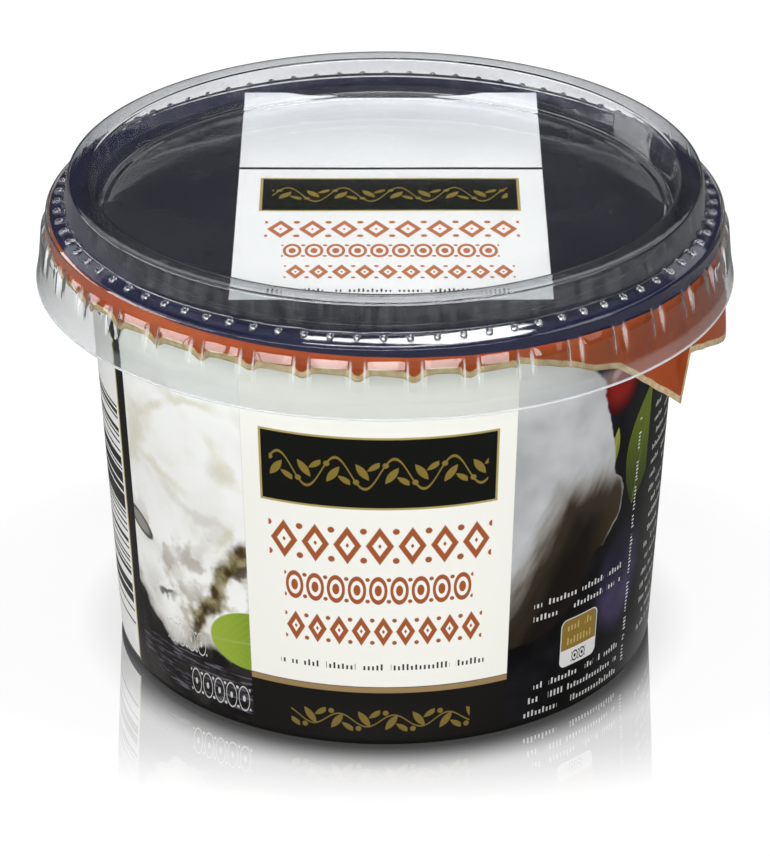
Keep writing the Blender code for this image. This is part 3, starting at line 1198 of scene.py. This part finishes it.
def film_ground(spot, place, height):
    """Charcoal disc, terracotta past its edge, and the bare border along the cut."""
    haze = ease(cloud(place, 45.0), 0.35, 0.7)
    drop = largest(FILM_TOP - height, 0.0)
    unrolled = 1.0 + drop / largest(distance(*spot), 1.0)
    reach = distance(spot[0] * unrolled - DARK_DISC_SHIFT, spot[1] * unrolled)
    folded = ease(reach, DARK_DISC_R - INK_EDGE, DARK_DISC_R + INK_EDGE)
    to_cut = place.tree.nodes.new("ShaderNodeAttribute")
    to_cut.attribute_name = "to_cut"
    width = ease(height, 60.0, 62.0, TAB_BORDER, BORDER)
    bare = ease(Value(to_cut.outputs["Fac"]) - width, -0.08, 0.08, 1.0, 0.0)
    grain = ease(cloud(place, 900.0), 0.3, 0.7)
    return painted(
        over(haze, *CHARCOAL),
        (ease(reach, 43.0, 46.5), CHARCOAL_RIM),
        (folded, over(haze, *TERRACOTTA_SIDE)),
        (inside(bare, folded), over(grain, *BARE_FILM)))

# %% Peel-off lid: piece
def film_print():
    """The ground all over, and the title where the panel lies."""
    material, tree, output = shader_material("lid_print")
    place = object_place(tree)
    x, y, z = apart(place)
    spot = (x / MM, y / MM)
    ground = ink_layer(tree, film_ground(spot, place, z / MM), FILM_GLOSS, FILM_ROUGHNESS)
    title = ink_layer(tree, film_title(spot), FILM_GLOSS, FILM_ROUGHNESS)
    wire(output.inputs[0], covered(field(spot, *FILM_PANEL), ground, title))
    return material


piece("peel_lid_film", film_skin(), film_print(), "film_lid", FILM_WALL)

# %% [markdown]
# ## The tub
#
# The tub is moulded in one shot with its label inside the mould, so the label has no edge and no
# thickness.  Its section is closed, from the middle of the rim's top down the wall to the foot ring and
# back to the middle, and one full spin makes the solid.

# %% Tub: mesh
TUB_COLUMNS = 240
TUB_CORNERS = (
    (0.0, 65.2, 0.0), (41.7, 65.2, 0.5), (43.7, RIM_TOP, 0.5), (47.2, RIM_TOP, 0.5), (47.2, 62.8, 0.2),
    (46.5, 62.8, 0.2), (46.5, RIM_TOP - 1.2, 0.3), (43.5, RIM_TOP - 1.2, 0.3), (42.75, 64.0, 0.8),
    (39.27, 0.0, 1.3), (34.0, 0.0, 0.4), (33.2, 1.0, 0.4), (0.0, 1.0, 0.0))


def tub_skin():
    skin, _, _ = turned(refined(rounded(TUB_CORNERS), lambda radius, height: 6.0), TUB_COLUMNS)
    bmesh.ops.recalc_face_normals(skin, faces=skin.faces)
    return skin

# %% [markdown]
# ## The tub's print
#
# The design is one strip, 129 mm long, that goes round twice: a white title panel in the middle, a food
# picture on either side of it, and small print where the strip ends.  It is painted from the back to the
# front, like a poster: the dark ground first, the pictures over it, then the panels and lines.  All
# numbers are millimetres on the strip, with 0 at the front, and heights above the table.

# %% Tub print: helpers for the pictures
# Boxes are left, right, low and high on the strip; the pictures reach a little under the title panel
LEFT_PICTURE = (-43.9, -19.9, -1.0, 70.0)
RIGHT_PICTURE = (18.0, 46.3, -1.0, 70.0)
VALUE_BOX = (27.6, 35.1, 8.0, 15.9)
INK_WHITE = rgb(0.62, 0.62, 0.60)
RELIEF_SHIFT = (0.0006, 0.0, 0.0008)


def relief_of(place):
    """The difference between a noise and the same noise moved: light on one flank, dark on the other."""
    moved = place.tree.nodes.new("ShaderNodeVectorMath")
    moved.operation = "ADD"
    moved = Value(filled(moved, (place, RELIEF_SHIFT)).outputs[0])
    return cloud(place, 130.0, 1.0) - cloud(moved, 130.0, 1.0)


def warped(spot, place, scale, reach):
    """The same spot moved a little by a noise, so that shapes drawn from it get torn edges."""
    shift = apart(Value(noise_node(place, scale, 4.0, 0.6).outputs["Color"]))
    return [value + (part - 0.5) * reach for value, part in zip(spot, shift)]


def leaf_over(spot, colour, shape, dark, light, veins, mask=None):
    """Paint a leaf: lighter on one half, with a pale midrib and slanting side veins."""
    leaf = petal(spot, *shape)
    slant = leaf["Along"] * 5.0 + leaf["Rib"] * -0.9
    stripe = abs(calculate("FRACT", slant) - 0.5)
    vein = ease(stripe, 0.0, 0.12, 0.3, 0.0)
    rib = ease(leaf["Rib"], 0.0, 0.35, 0.6, 0.0)
    shade = over(ease(leaf["Along"], -1.0, 0.8), dark, light)
    shade = over(largest(vein, rib), shade, veins)
    return over(mask or leaf["Mask"], colour, shade)


def smudges(spot, colour, places, wobble, softness, ink, strength):
    """Soft strokes of one colour over a picture."""
    for middle, size, turn in places:
        mask = blob(spot, middle, size, turn, wobble, softness)["Mask"]
        colour = over(mask * strength, colour, ink)
    return colour


print("picture helpers ready")

# %% Tub print: the left-hand picture
# Smudges and shapes: middle, half length and half width, and turn
CREAM_FOLDS = (((-41.0, 40.5), (5.2, 1.9), 1.2), ((-30.0, 50.6), (5.8, 1.0), 0.15),
               ((-23.4, 42.0), (3.6, 1.4), -0.75), ((-34.8, 37.4), (3.6, 0.9), -0.3),
               ((-24.6, 31.0), (1.9, 0.7), 0.9), ((-36.5, 46.5), (3.0, 0.8), 0.6))
GREY_FOLDS = (((-39.8, 17.5), (3.4, 2.6), -0.4), ((-34.5, 21.5), (3.6, 1.3), -0.8),
              ((-30.5, 25.5), (4.2, 1.1), 0.9), ((-28.8, 33.0), (4.4, 0.9), -0.4))
CRACKS = (((-20.9, 27.6), (3.6, 2.7), 0.3), ((-24.2, 24.8), (3.4, 2.0), 0.9),
          ((-28.0, 18.2), (7.2, 1.7), 1.05))
DARK_FOLDS = (((-35.2, 17.6), (2.0, 0.5), -0.2), ((-20.6, 25.4), (2.6, 1.1), 0.1),
              ((-29.5, 15.2), (3.4, 0.8), 1.0))
CUT_CHEESE = ((-31.5, 40.0), (20.5, 29.0), 0.05)
CHIP = ((-42.0, 26.8), (3.6, 1.4), -0.45)
GREEN_LEAF = ((-19.6, 14.6), (7.6, 4.7), 0.12)
GREEN_OUTLINE = ((-19.6, 14.9), (7.6, 4.7), 0.12)
GREEN = (rgb(0.32, 0.43, 0.045), rgb(0.15, 0.25, 0.012), rgb(0.36, 0.47, 0.12))
SLATE = (rgb(0.007, 0.006, 0.006), rgb(0.028, 0.025, 0.022))
SLATE_STREAK = rgb(0.15, 0.14, 0.18)
WEIGHT_ROWS = ((11.6, -36.6, -28.2, 2.1, 1.9, 2.0, 0.76), (5.0, -31.8, -20.6, 2.24, 2.1, 2.0, 0.76))


def left_picture(spot, place):
    """A cut-open cheese over a slate, with cracks, folds and a leaf."""
    noise_large = cloud(place, 70.0)
    noise_fine = cloud(place, 260.0)
    relief = relief_of(place)
    wobble = (noise_large - 0.5) * 0.5
    torn = warped(spot, place, 85.0, 13.0)
    body = blob(warped(spot, place, 120.0, 4.0), *CUT_CHEESE, wobble, 0.02)
    drawn_out = point_at(spot[0] * 0.25, spot[1] * 2.0)
    streak = inside(field(spot, -43.9, -20.2, 2.6, 9.4),
                    ease(cloud(drawn_out, 1.0, 4.0), 0.50, 0.66, 0.0, 0.8))
    slate = over(streak, over(ease(noise_fine, 0.4, 0.65), *SLATE), SLATE_STREAK)
    milk = over(ease(noise_large, 0.28, 0.58), rgb(0.86, 0.86, 0.82), rgb(0.94, 0.95, 0.92))
    milk = smudges(torn, milk, CREAM_FOLDS, wobble, 0.78, rgb(0.60, 0.56, 0.34), 0.52)
    milk = smudges(torn, milk, GREY_FOLDS, wobble, 0.80, rgb(0.42, 0.37, 0.31), 0.36)
    crumbs = ease(cloud(place, 190.0), 0.40, 0.52, 0.62, 0.0)
    milk = painted(
        milk,
        (inside(ease(torn[1], 24.0, 33.0, 1.0, 0.0), crumbs), rgb(0.34, 0.29, 0.22)),
        (ease(relief, 0.0, 0.12, 0.0, 0.6), rgb(0.94, 0.94, 0.93)),
        (ease(relief, -0.12, -0.01, 0.20, 0.0), rgb(0.48, 0.45, 0.38)),
        (ease(body["Reach"], 0.88, 1.02), rgb(0.46, 0.44, 0.41)))
    olive = over(ease(noise_fine, 0.38, 0.62), rgb(0.065, 0.042, 0.012), rgb(0.36, 0.32, 0.17))
    milk = smudges(torn, milk, CRACKS, wobble, 0.45, olive, 1.0)
    milk = smudges(torn, milk, DARK_FOLDS, wobble, 0.55, rgb(0.040, 0.024, 0.009), 0.85)
    milk = over(ease(spot[1], 52.0, 58.0), milk, rgb(0.90, 0.91, 0.87))
    chip = blob(spot, *CHIP, 0.0, 0.10)
    grey = over(ease(chip["Reach"], 0.5, 0.95), rgb(0.30, 0.29, 0.27), rgb(0.06, 0.055, 0.05))
    colour = painted(slate, (body["Mask"], milk), (chip["Mask"], grey))
    whole = blob(spot, *GREEN_OUTLINE, 0.0, 0.02)["Mask"]
    colour = leaf_over(spot, colour, GREEN_LEAF, *GREEN, whole)
    return over(title_rows(spot, WEIGHT_ROWS), colour, INK_WHITE)

# %% Tub print: ball and value box
TOMATO = ((37.0, 51.5), (4.9, 5.2), 0.0)
SHINE = ((35.6, 53.2), (1.1, 0.7), 0.6)
TALL_LEAF = ((44.2, 38.6), (9.4, 4.4), 1.35)
TALL_GREEN = (rgb(0.026, 0.044, 0.003), rgb(0.120, 0.160, 0.010), rgb(0.15, 0.19, 0.02))
SLIM_LEAF = ((36.6, 40.8), (3.2, 0.9), 1.45)
SLIM_GREEN = (rgb(0.12, 0.13, 0.01), rgb(0.26, 0.28, 0.03), rgb(0.30, 0.36, 0.08))
CABBAGE = ((40.4, 18.8), (8.0, 5.4), 1.35)
BALL = ((18.0, 38.0), (18.6, 24.0), 0.0)
BALL_LIP = ((33.4, 31.2), (5.8, 6.4), -0.5)
# A point on the shadow's edge, and how fast the shade deepens across and down from there
SHADE_START = (19.7, 24.2)
SHADE_SLOPE = (0.857, 0.514)
SHADE_TOP = 36.3
GOLD_PLATE = rgb(0.245, 0.155, 0.026)


def ball_of_cheese(spot, place, noise_large):
    """The ball's colour: pale above, and brown to black below the shadow's soft slanting edge."""
    across, up = spot
    relief = relief_of(place)
    lit = painted(
        over(ease(noise_large, 0.30, 0.60), rgb(0.36, 0.375, 0.385), rgb(0.55, 0.56, 0.575)),
        (ease(relief, 0.0, 0.14, 0.0, 0.20), rgb(0.70, 0.71, 0.71)),
        (ease(relief, -0.14, 0.0, 0.22, 0.0), rgb(0.22, 0.21, 0.20)),
        (ease(up, 50.0, 58.0), rgb(0.80, 0.81, 0.80)))
    slope = (across - SHADE_START[0]) * SHADE_SLOPE[0] - (up - SHADE_START[1]) * SHADE_SLOPE[1]
    below = calculate("MINIMUM", slope, SHADE_TOP - up)
    brush = cloud(point_at(slope * 0.5, (across + up) * 0.09), 1.0, 2.0)
    below = below + ease(brush, 0.3, 0.7, -0.7, 0.7)
    dusk = over(ease(below, -4.5, 0.8), lit, rgb(0.22, 0.20, 0.175))
    night = over(ease(across, 31.0, 38.0), rgb(0.010, 0.007, 0.005), rgb(0.040, 0.029, 0.009))
    night = over(ease(below, 0.5, 7.0), rgb(0.045, 0.033, 0.022), night)
    return over(ease(below, -1.2, 2.4), dusk, night)


def value_box(spot):
    """The layers of a small box of food values: a pale plate, its gold upper part and two beads."""
    across, up = spot
    upper = inside(round_field(spot, grown(VALUE_BOX, -0.15), 1.0), ease(up, 10.75, 10.9))
    ticks = over(dashes(across, up - 11.0, 0.90, 2.3, 0.26, 5.0, 0.1), GOLD_PLATE, rgb(0.46, 0.36, 0.13))
    return (
        (round_field(spot, VALUE_BOX, 1.1), rgb(0.69, 0.69, 0.67)),
        (upper, over(field(spot, 28.6, 34.2, 11.2, 15.4), GOLD_PLATE, ticks)),
        (beads(spot, 9.3, 29.9, 32.9, 1.5, 0.9, 2.0, 0.5), rgb(0.02, 0.02, 0.02)))

# %% Tub print: the right-hand picture, put together
def right_picture(spot, place):
    """A whole ball of cheese in low light, with a tomato, two leaves and a purple cabbage leaf."""
    across, up = spot
    noise_large = cloud(place, 70.0)
    wobble = (noise_large - 0.5) * 0.20
    tomato = blob(spot, *TOMATO, 0.0, 0.02)
    red = over(ease(tomato["Reach"], 0.35, 1.0), rgb(0.30, 0.010, 0.006), rgb(0.055, 0.001, 0.001))
    red = over(blob(spot, *SHINE, 0.0, 0.6)["Mask"] * 0.7, red, rgb(0.75, 0.5, 0.45))
    colour = over(ease(noise_large, 0.45, 0.65), rgb(0.003, 0.003, 0.003), rgb(0.010, 0.009, 0.012))
    colour = over(tomato["Mask"], colour, red)
    colour = leaf_over(spot, colour, TALL_LEAF, *TALL_GREEN)
    colour = leaf_over(spot, colour, SLIM_LEAF, *SLIM_GREEN)
    violet = over(ease(noise_large, 0.38, 0.62), rgb(0.014, 0.011, 0.028), rgb(0.055, 0.043, 0.100))
    violet = over(ease(up, 17.0, 27.0), violet, rgb(0.007, 0.007, 0.015))
    torn = warped(spot, place, 110.0, 4.0)
    ball = blob(torn, *BALL, wobble, 0.012)
    lip = blob(torn, *BALL_LIP, 0.0, 0.014)
    rim = inside(lip["Mask"], ease(lip["Reach"], 0.90, 0.98), ease(across, 34.5, 37.5),
                 ease(noise_large, 0.35, 0.60, 0.35, 1.0))
    ink = largest(
        small_print(spot, across, up - 16.9, (22.4, 40.5, 16.9, 21.2),
                    cell=0.95, pitch=2.2, weight=0.22, seed=1.0),
        small_print(spot, across, up - 1.1, (21.2, 41.5, 1.1, 7.6),
                    cell=0.92, pitch=2.2, weight=0.23, seed=2.0),
        small_print(spot, up, across - 42.4, (42.4, 44.1, 3.0, 43.0),
                    cell=0.80, pitch=1.7, weight=0.22, seed=4.0))
    return painted(
        colour,
        (blob(spot, *CABBAGE, wobble, 0.25)["Mask"], violet),
        (largest(ball["Mask"], lip["Mask"]), ball_of_cheese(spot, place, noise_large)),
        (rim, rgb(0.27, 0.27, 0.265)),
        *value_box(spot),
        (ink, INK_WHITE))


print("pictures ready")

# %% Tub print: the ends of the strip
STRIP_END = 64.4
CODE_BARS = (-66.0, -47.3, 6.5, 44.6)
CODE_STEP = 0.36
CODE_SHARE = 0.42
LABEL_BLACK = rgb(0.007, 0.007, 0.006)
SMALL_COLUMNS = ((48.5, 62.5, 4.0, 56.0), (-62.5, -49.0, 4.0, 50.0))
# The bar code is at the front left alone: how far left, and half the width of that stretch, in radians
FRONT_LEFT = (1.2, 0.6)


def strip_end(spot, turn):
    """The narrow end panel with its lines, and the bar code at the front left."""
    across, up = spot
    column = inside(dashes(across, up, 0.85, 2.3, 0.2, 6.0, 0.25),
                    largest(*[field(spot, *box) for box in SMALL_COLUMNS]))
    front = abs(turn + FRONT_LEFT[0]) < FRONT_LEFT[1]
    random = up.tree.nodes.new("ShaderNodeTexWhiteNoise")
    random.noise_dimensions = "1D"
    wire(random.inputs["W"], calculate("FLOOR", up / CODE_STEP))
    stripe = Value(random.outputs["Value"]) > CODE_SHARE
    return painted(
        over(column, LABEL_BLACK, INK_WHITE),
        (inside(field(spot, -STRIP_END - 1.0, -46.7, 1.6, 55.2), front), rgb(0.93, 0.93, 0.91)),
        (inside(stripe, field(spot, *CODE_BARS), front), rgb(0.02, 0.018, 0.015)),
        (inside(field(spot, -STRIP_END - 1.0, -44.5, 55.2, 70.0), front), rgb(0.10, 0.05, 0.055)),
        (field(spot, -46.4, -43.9, -1.0, 70.0), LABEL_BLACK),
        (field(spot, -46.75, -46.4, -1.0, 70.0), rgb(0.50, 0.40, 0.12)))

# %% Tub print: the title panel
PANEL = (-20.2, 18.3, 10.2, 70.0)
PANEL_AND_BAND = (-20.2, 18.3, -1.0, 70.0)
GOLD_LINE = (-20.2, 18.3, 9.2, 10.1)
BOX = (-17.5, 15.7, 39.1, 50.5)
BOX_FRAME = 0.32
TITLE = ((33.3, -16.45, 15.05, 4.5, 3.0, 1.0, 0.5), (26.1, -14.35, 12.5, 2.98, 2.25, 2.0, 0.42),
         (19.4, -14.4, 14.0, 3.15, 2.35, 1.0, 0.4))
SMALL_LINE = (-16.3, 14.5, 12.2, 14.8)
SIGNATURE = (-14.0, 12.6, 1.4, 7.4)
PAPER = rgb(0.93, 0.93, 0.87)
TERRACOTTA = rgb(0.385, 0.098, 0.028)


def title_panel(spot):
    """White panel with a framed black box, three title rows, and the band below."""
    across, up = spot
    middle = across + 0.7
    small = small_print(spot, across, up - 12.1, SMALL_LINE, cell=0.85, pitch=2.8, weight=0.18, seed=7.0)
    return painted(
        rgb(0.010, 0.009, 0.008),
        (sprig(spot, middle, up - 4.5, 1.0, 0.12, SIGNATURE), rgb(0.21, 0.15, 0.035)),
        (field(spot, *PANEL), PAPER),
        (field(spot, *GOLD_LINE), rgb(0.337, 0.227, 0.102)),
        (title_rows(spot, TITLE), TERRACOTTA),
        (small, rgb(0.05, 0.048, 0.045)),
        (field(spot, *BOX), GOLD_FRAME),
        (field(spot, *grown(BOX, -BOX_FRAME)), BOX_BLACK),
        (sprig(spot, middle, up - 44.8, 2.4, 0.21, grown(BOX, -1.5)), GOLD_INK))

# %% [markdown]
# Blender works out only those shaders that a mask lets through, so each area of the label is a shader
# layer of its own: where the title panel lies, the nodes of the pictures cost nothing.  Light that has
# been scattered by something else sees one mean colour in place of all the print.

# %% Tub print: the whole strip
TUB_GLOSS = 0.07
TUB_ROUGHNESS = 0.36
MEAN_INK = rgb(0.42, 0.41, 0.39)
BARE_PLASTIC = rgb(0.84, 0.84, 0.81)
LABEL_TOP = 62.0
FOOT_INK = 0.0365
HAIR = 0.0001


def tub_print():
    material, tree, output = shader_material("tub_print")
    place = object_place(tree)
    ruler = use(RULER, Place=place)
    spot = (ruler["Across"], ruler["Up"])
    areas = ((RIGHT_PICTURE, right_picture(spot, place)), (LEFT_PICTURE, left_picture(spot, place)),
             (PANEL_AND_BAND, title_panel(spot)))
    shader = ink_layer(tree, strip_end(spot, ruler["Turn"]), TUB_GLOSS, TUB_ROUGHNESS)
    for area, colour in areas:
        shader = covered(field(spot, *area), shader, ink_layer(tree, colour, TUB_GLOSS, TUB_ROUGHNESS))
    x, y, _ = apart(place)
    bare = largest(ease(ruler["Up"], LABEL_TOP, LABEL_TOP + 0.2),
                   ease(distance(x, y), FOOT_INK - HAIR, FOOT_INK + HAIR, 1.0, 0.0))
    plain = over(bare, LABEL_BLACK, BARE_PLASTIC)
    edge = largest(bare, ease(ruler["Up"], 1.2, 1.6, 1.0, 0.0))
    shader = covered(edge, shader, ink_layer(tree, plain, TUB_GLOSS, TUB_ROUGHNESS))
    scattered = read(tree, "ShaderNodeLightPath", "Is Diffuse Ray")
    mean = ink_layer(tree, MEAN_INK, TUB_GLOSS, TUB_ROUGHNESS)
    wire(output.inputs[0], covered(scattered, shader, mean))
    return material


piece("tub_body", tub_skin(), tub_print(), "tub")
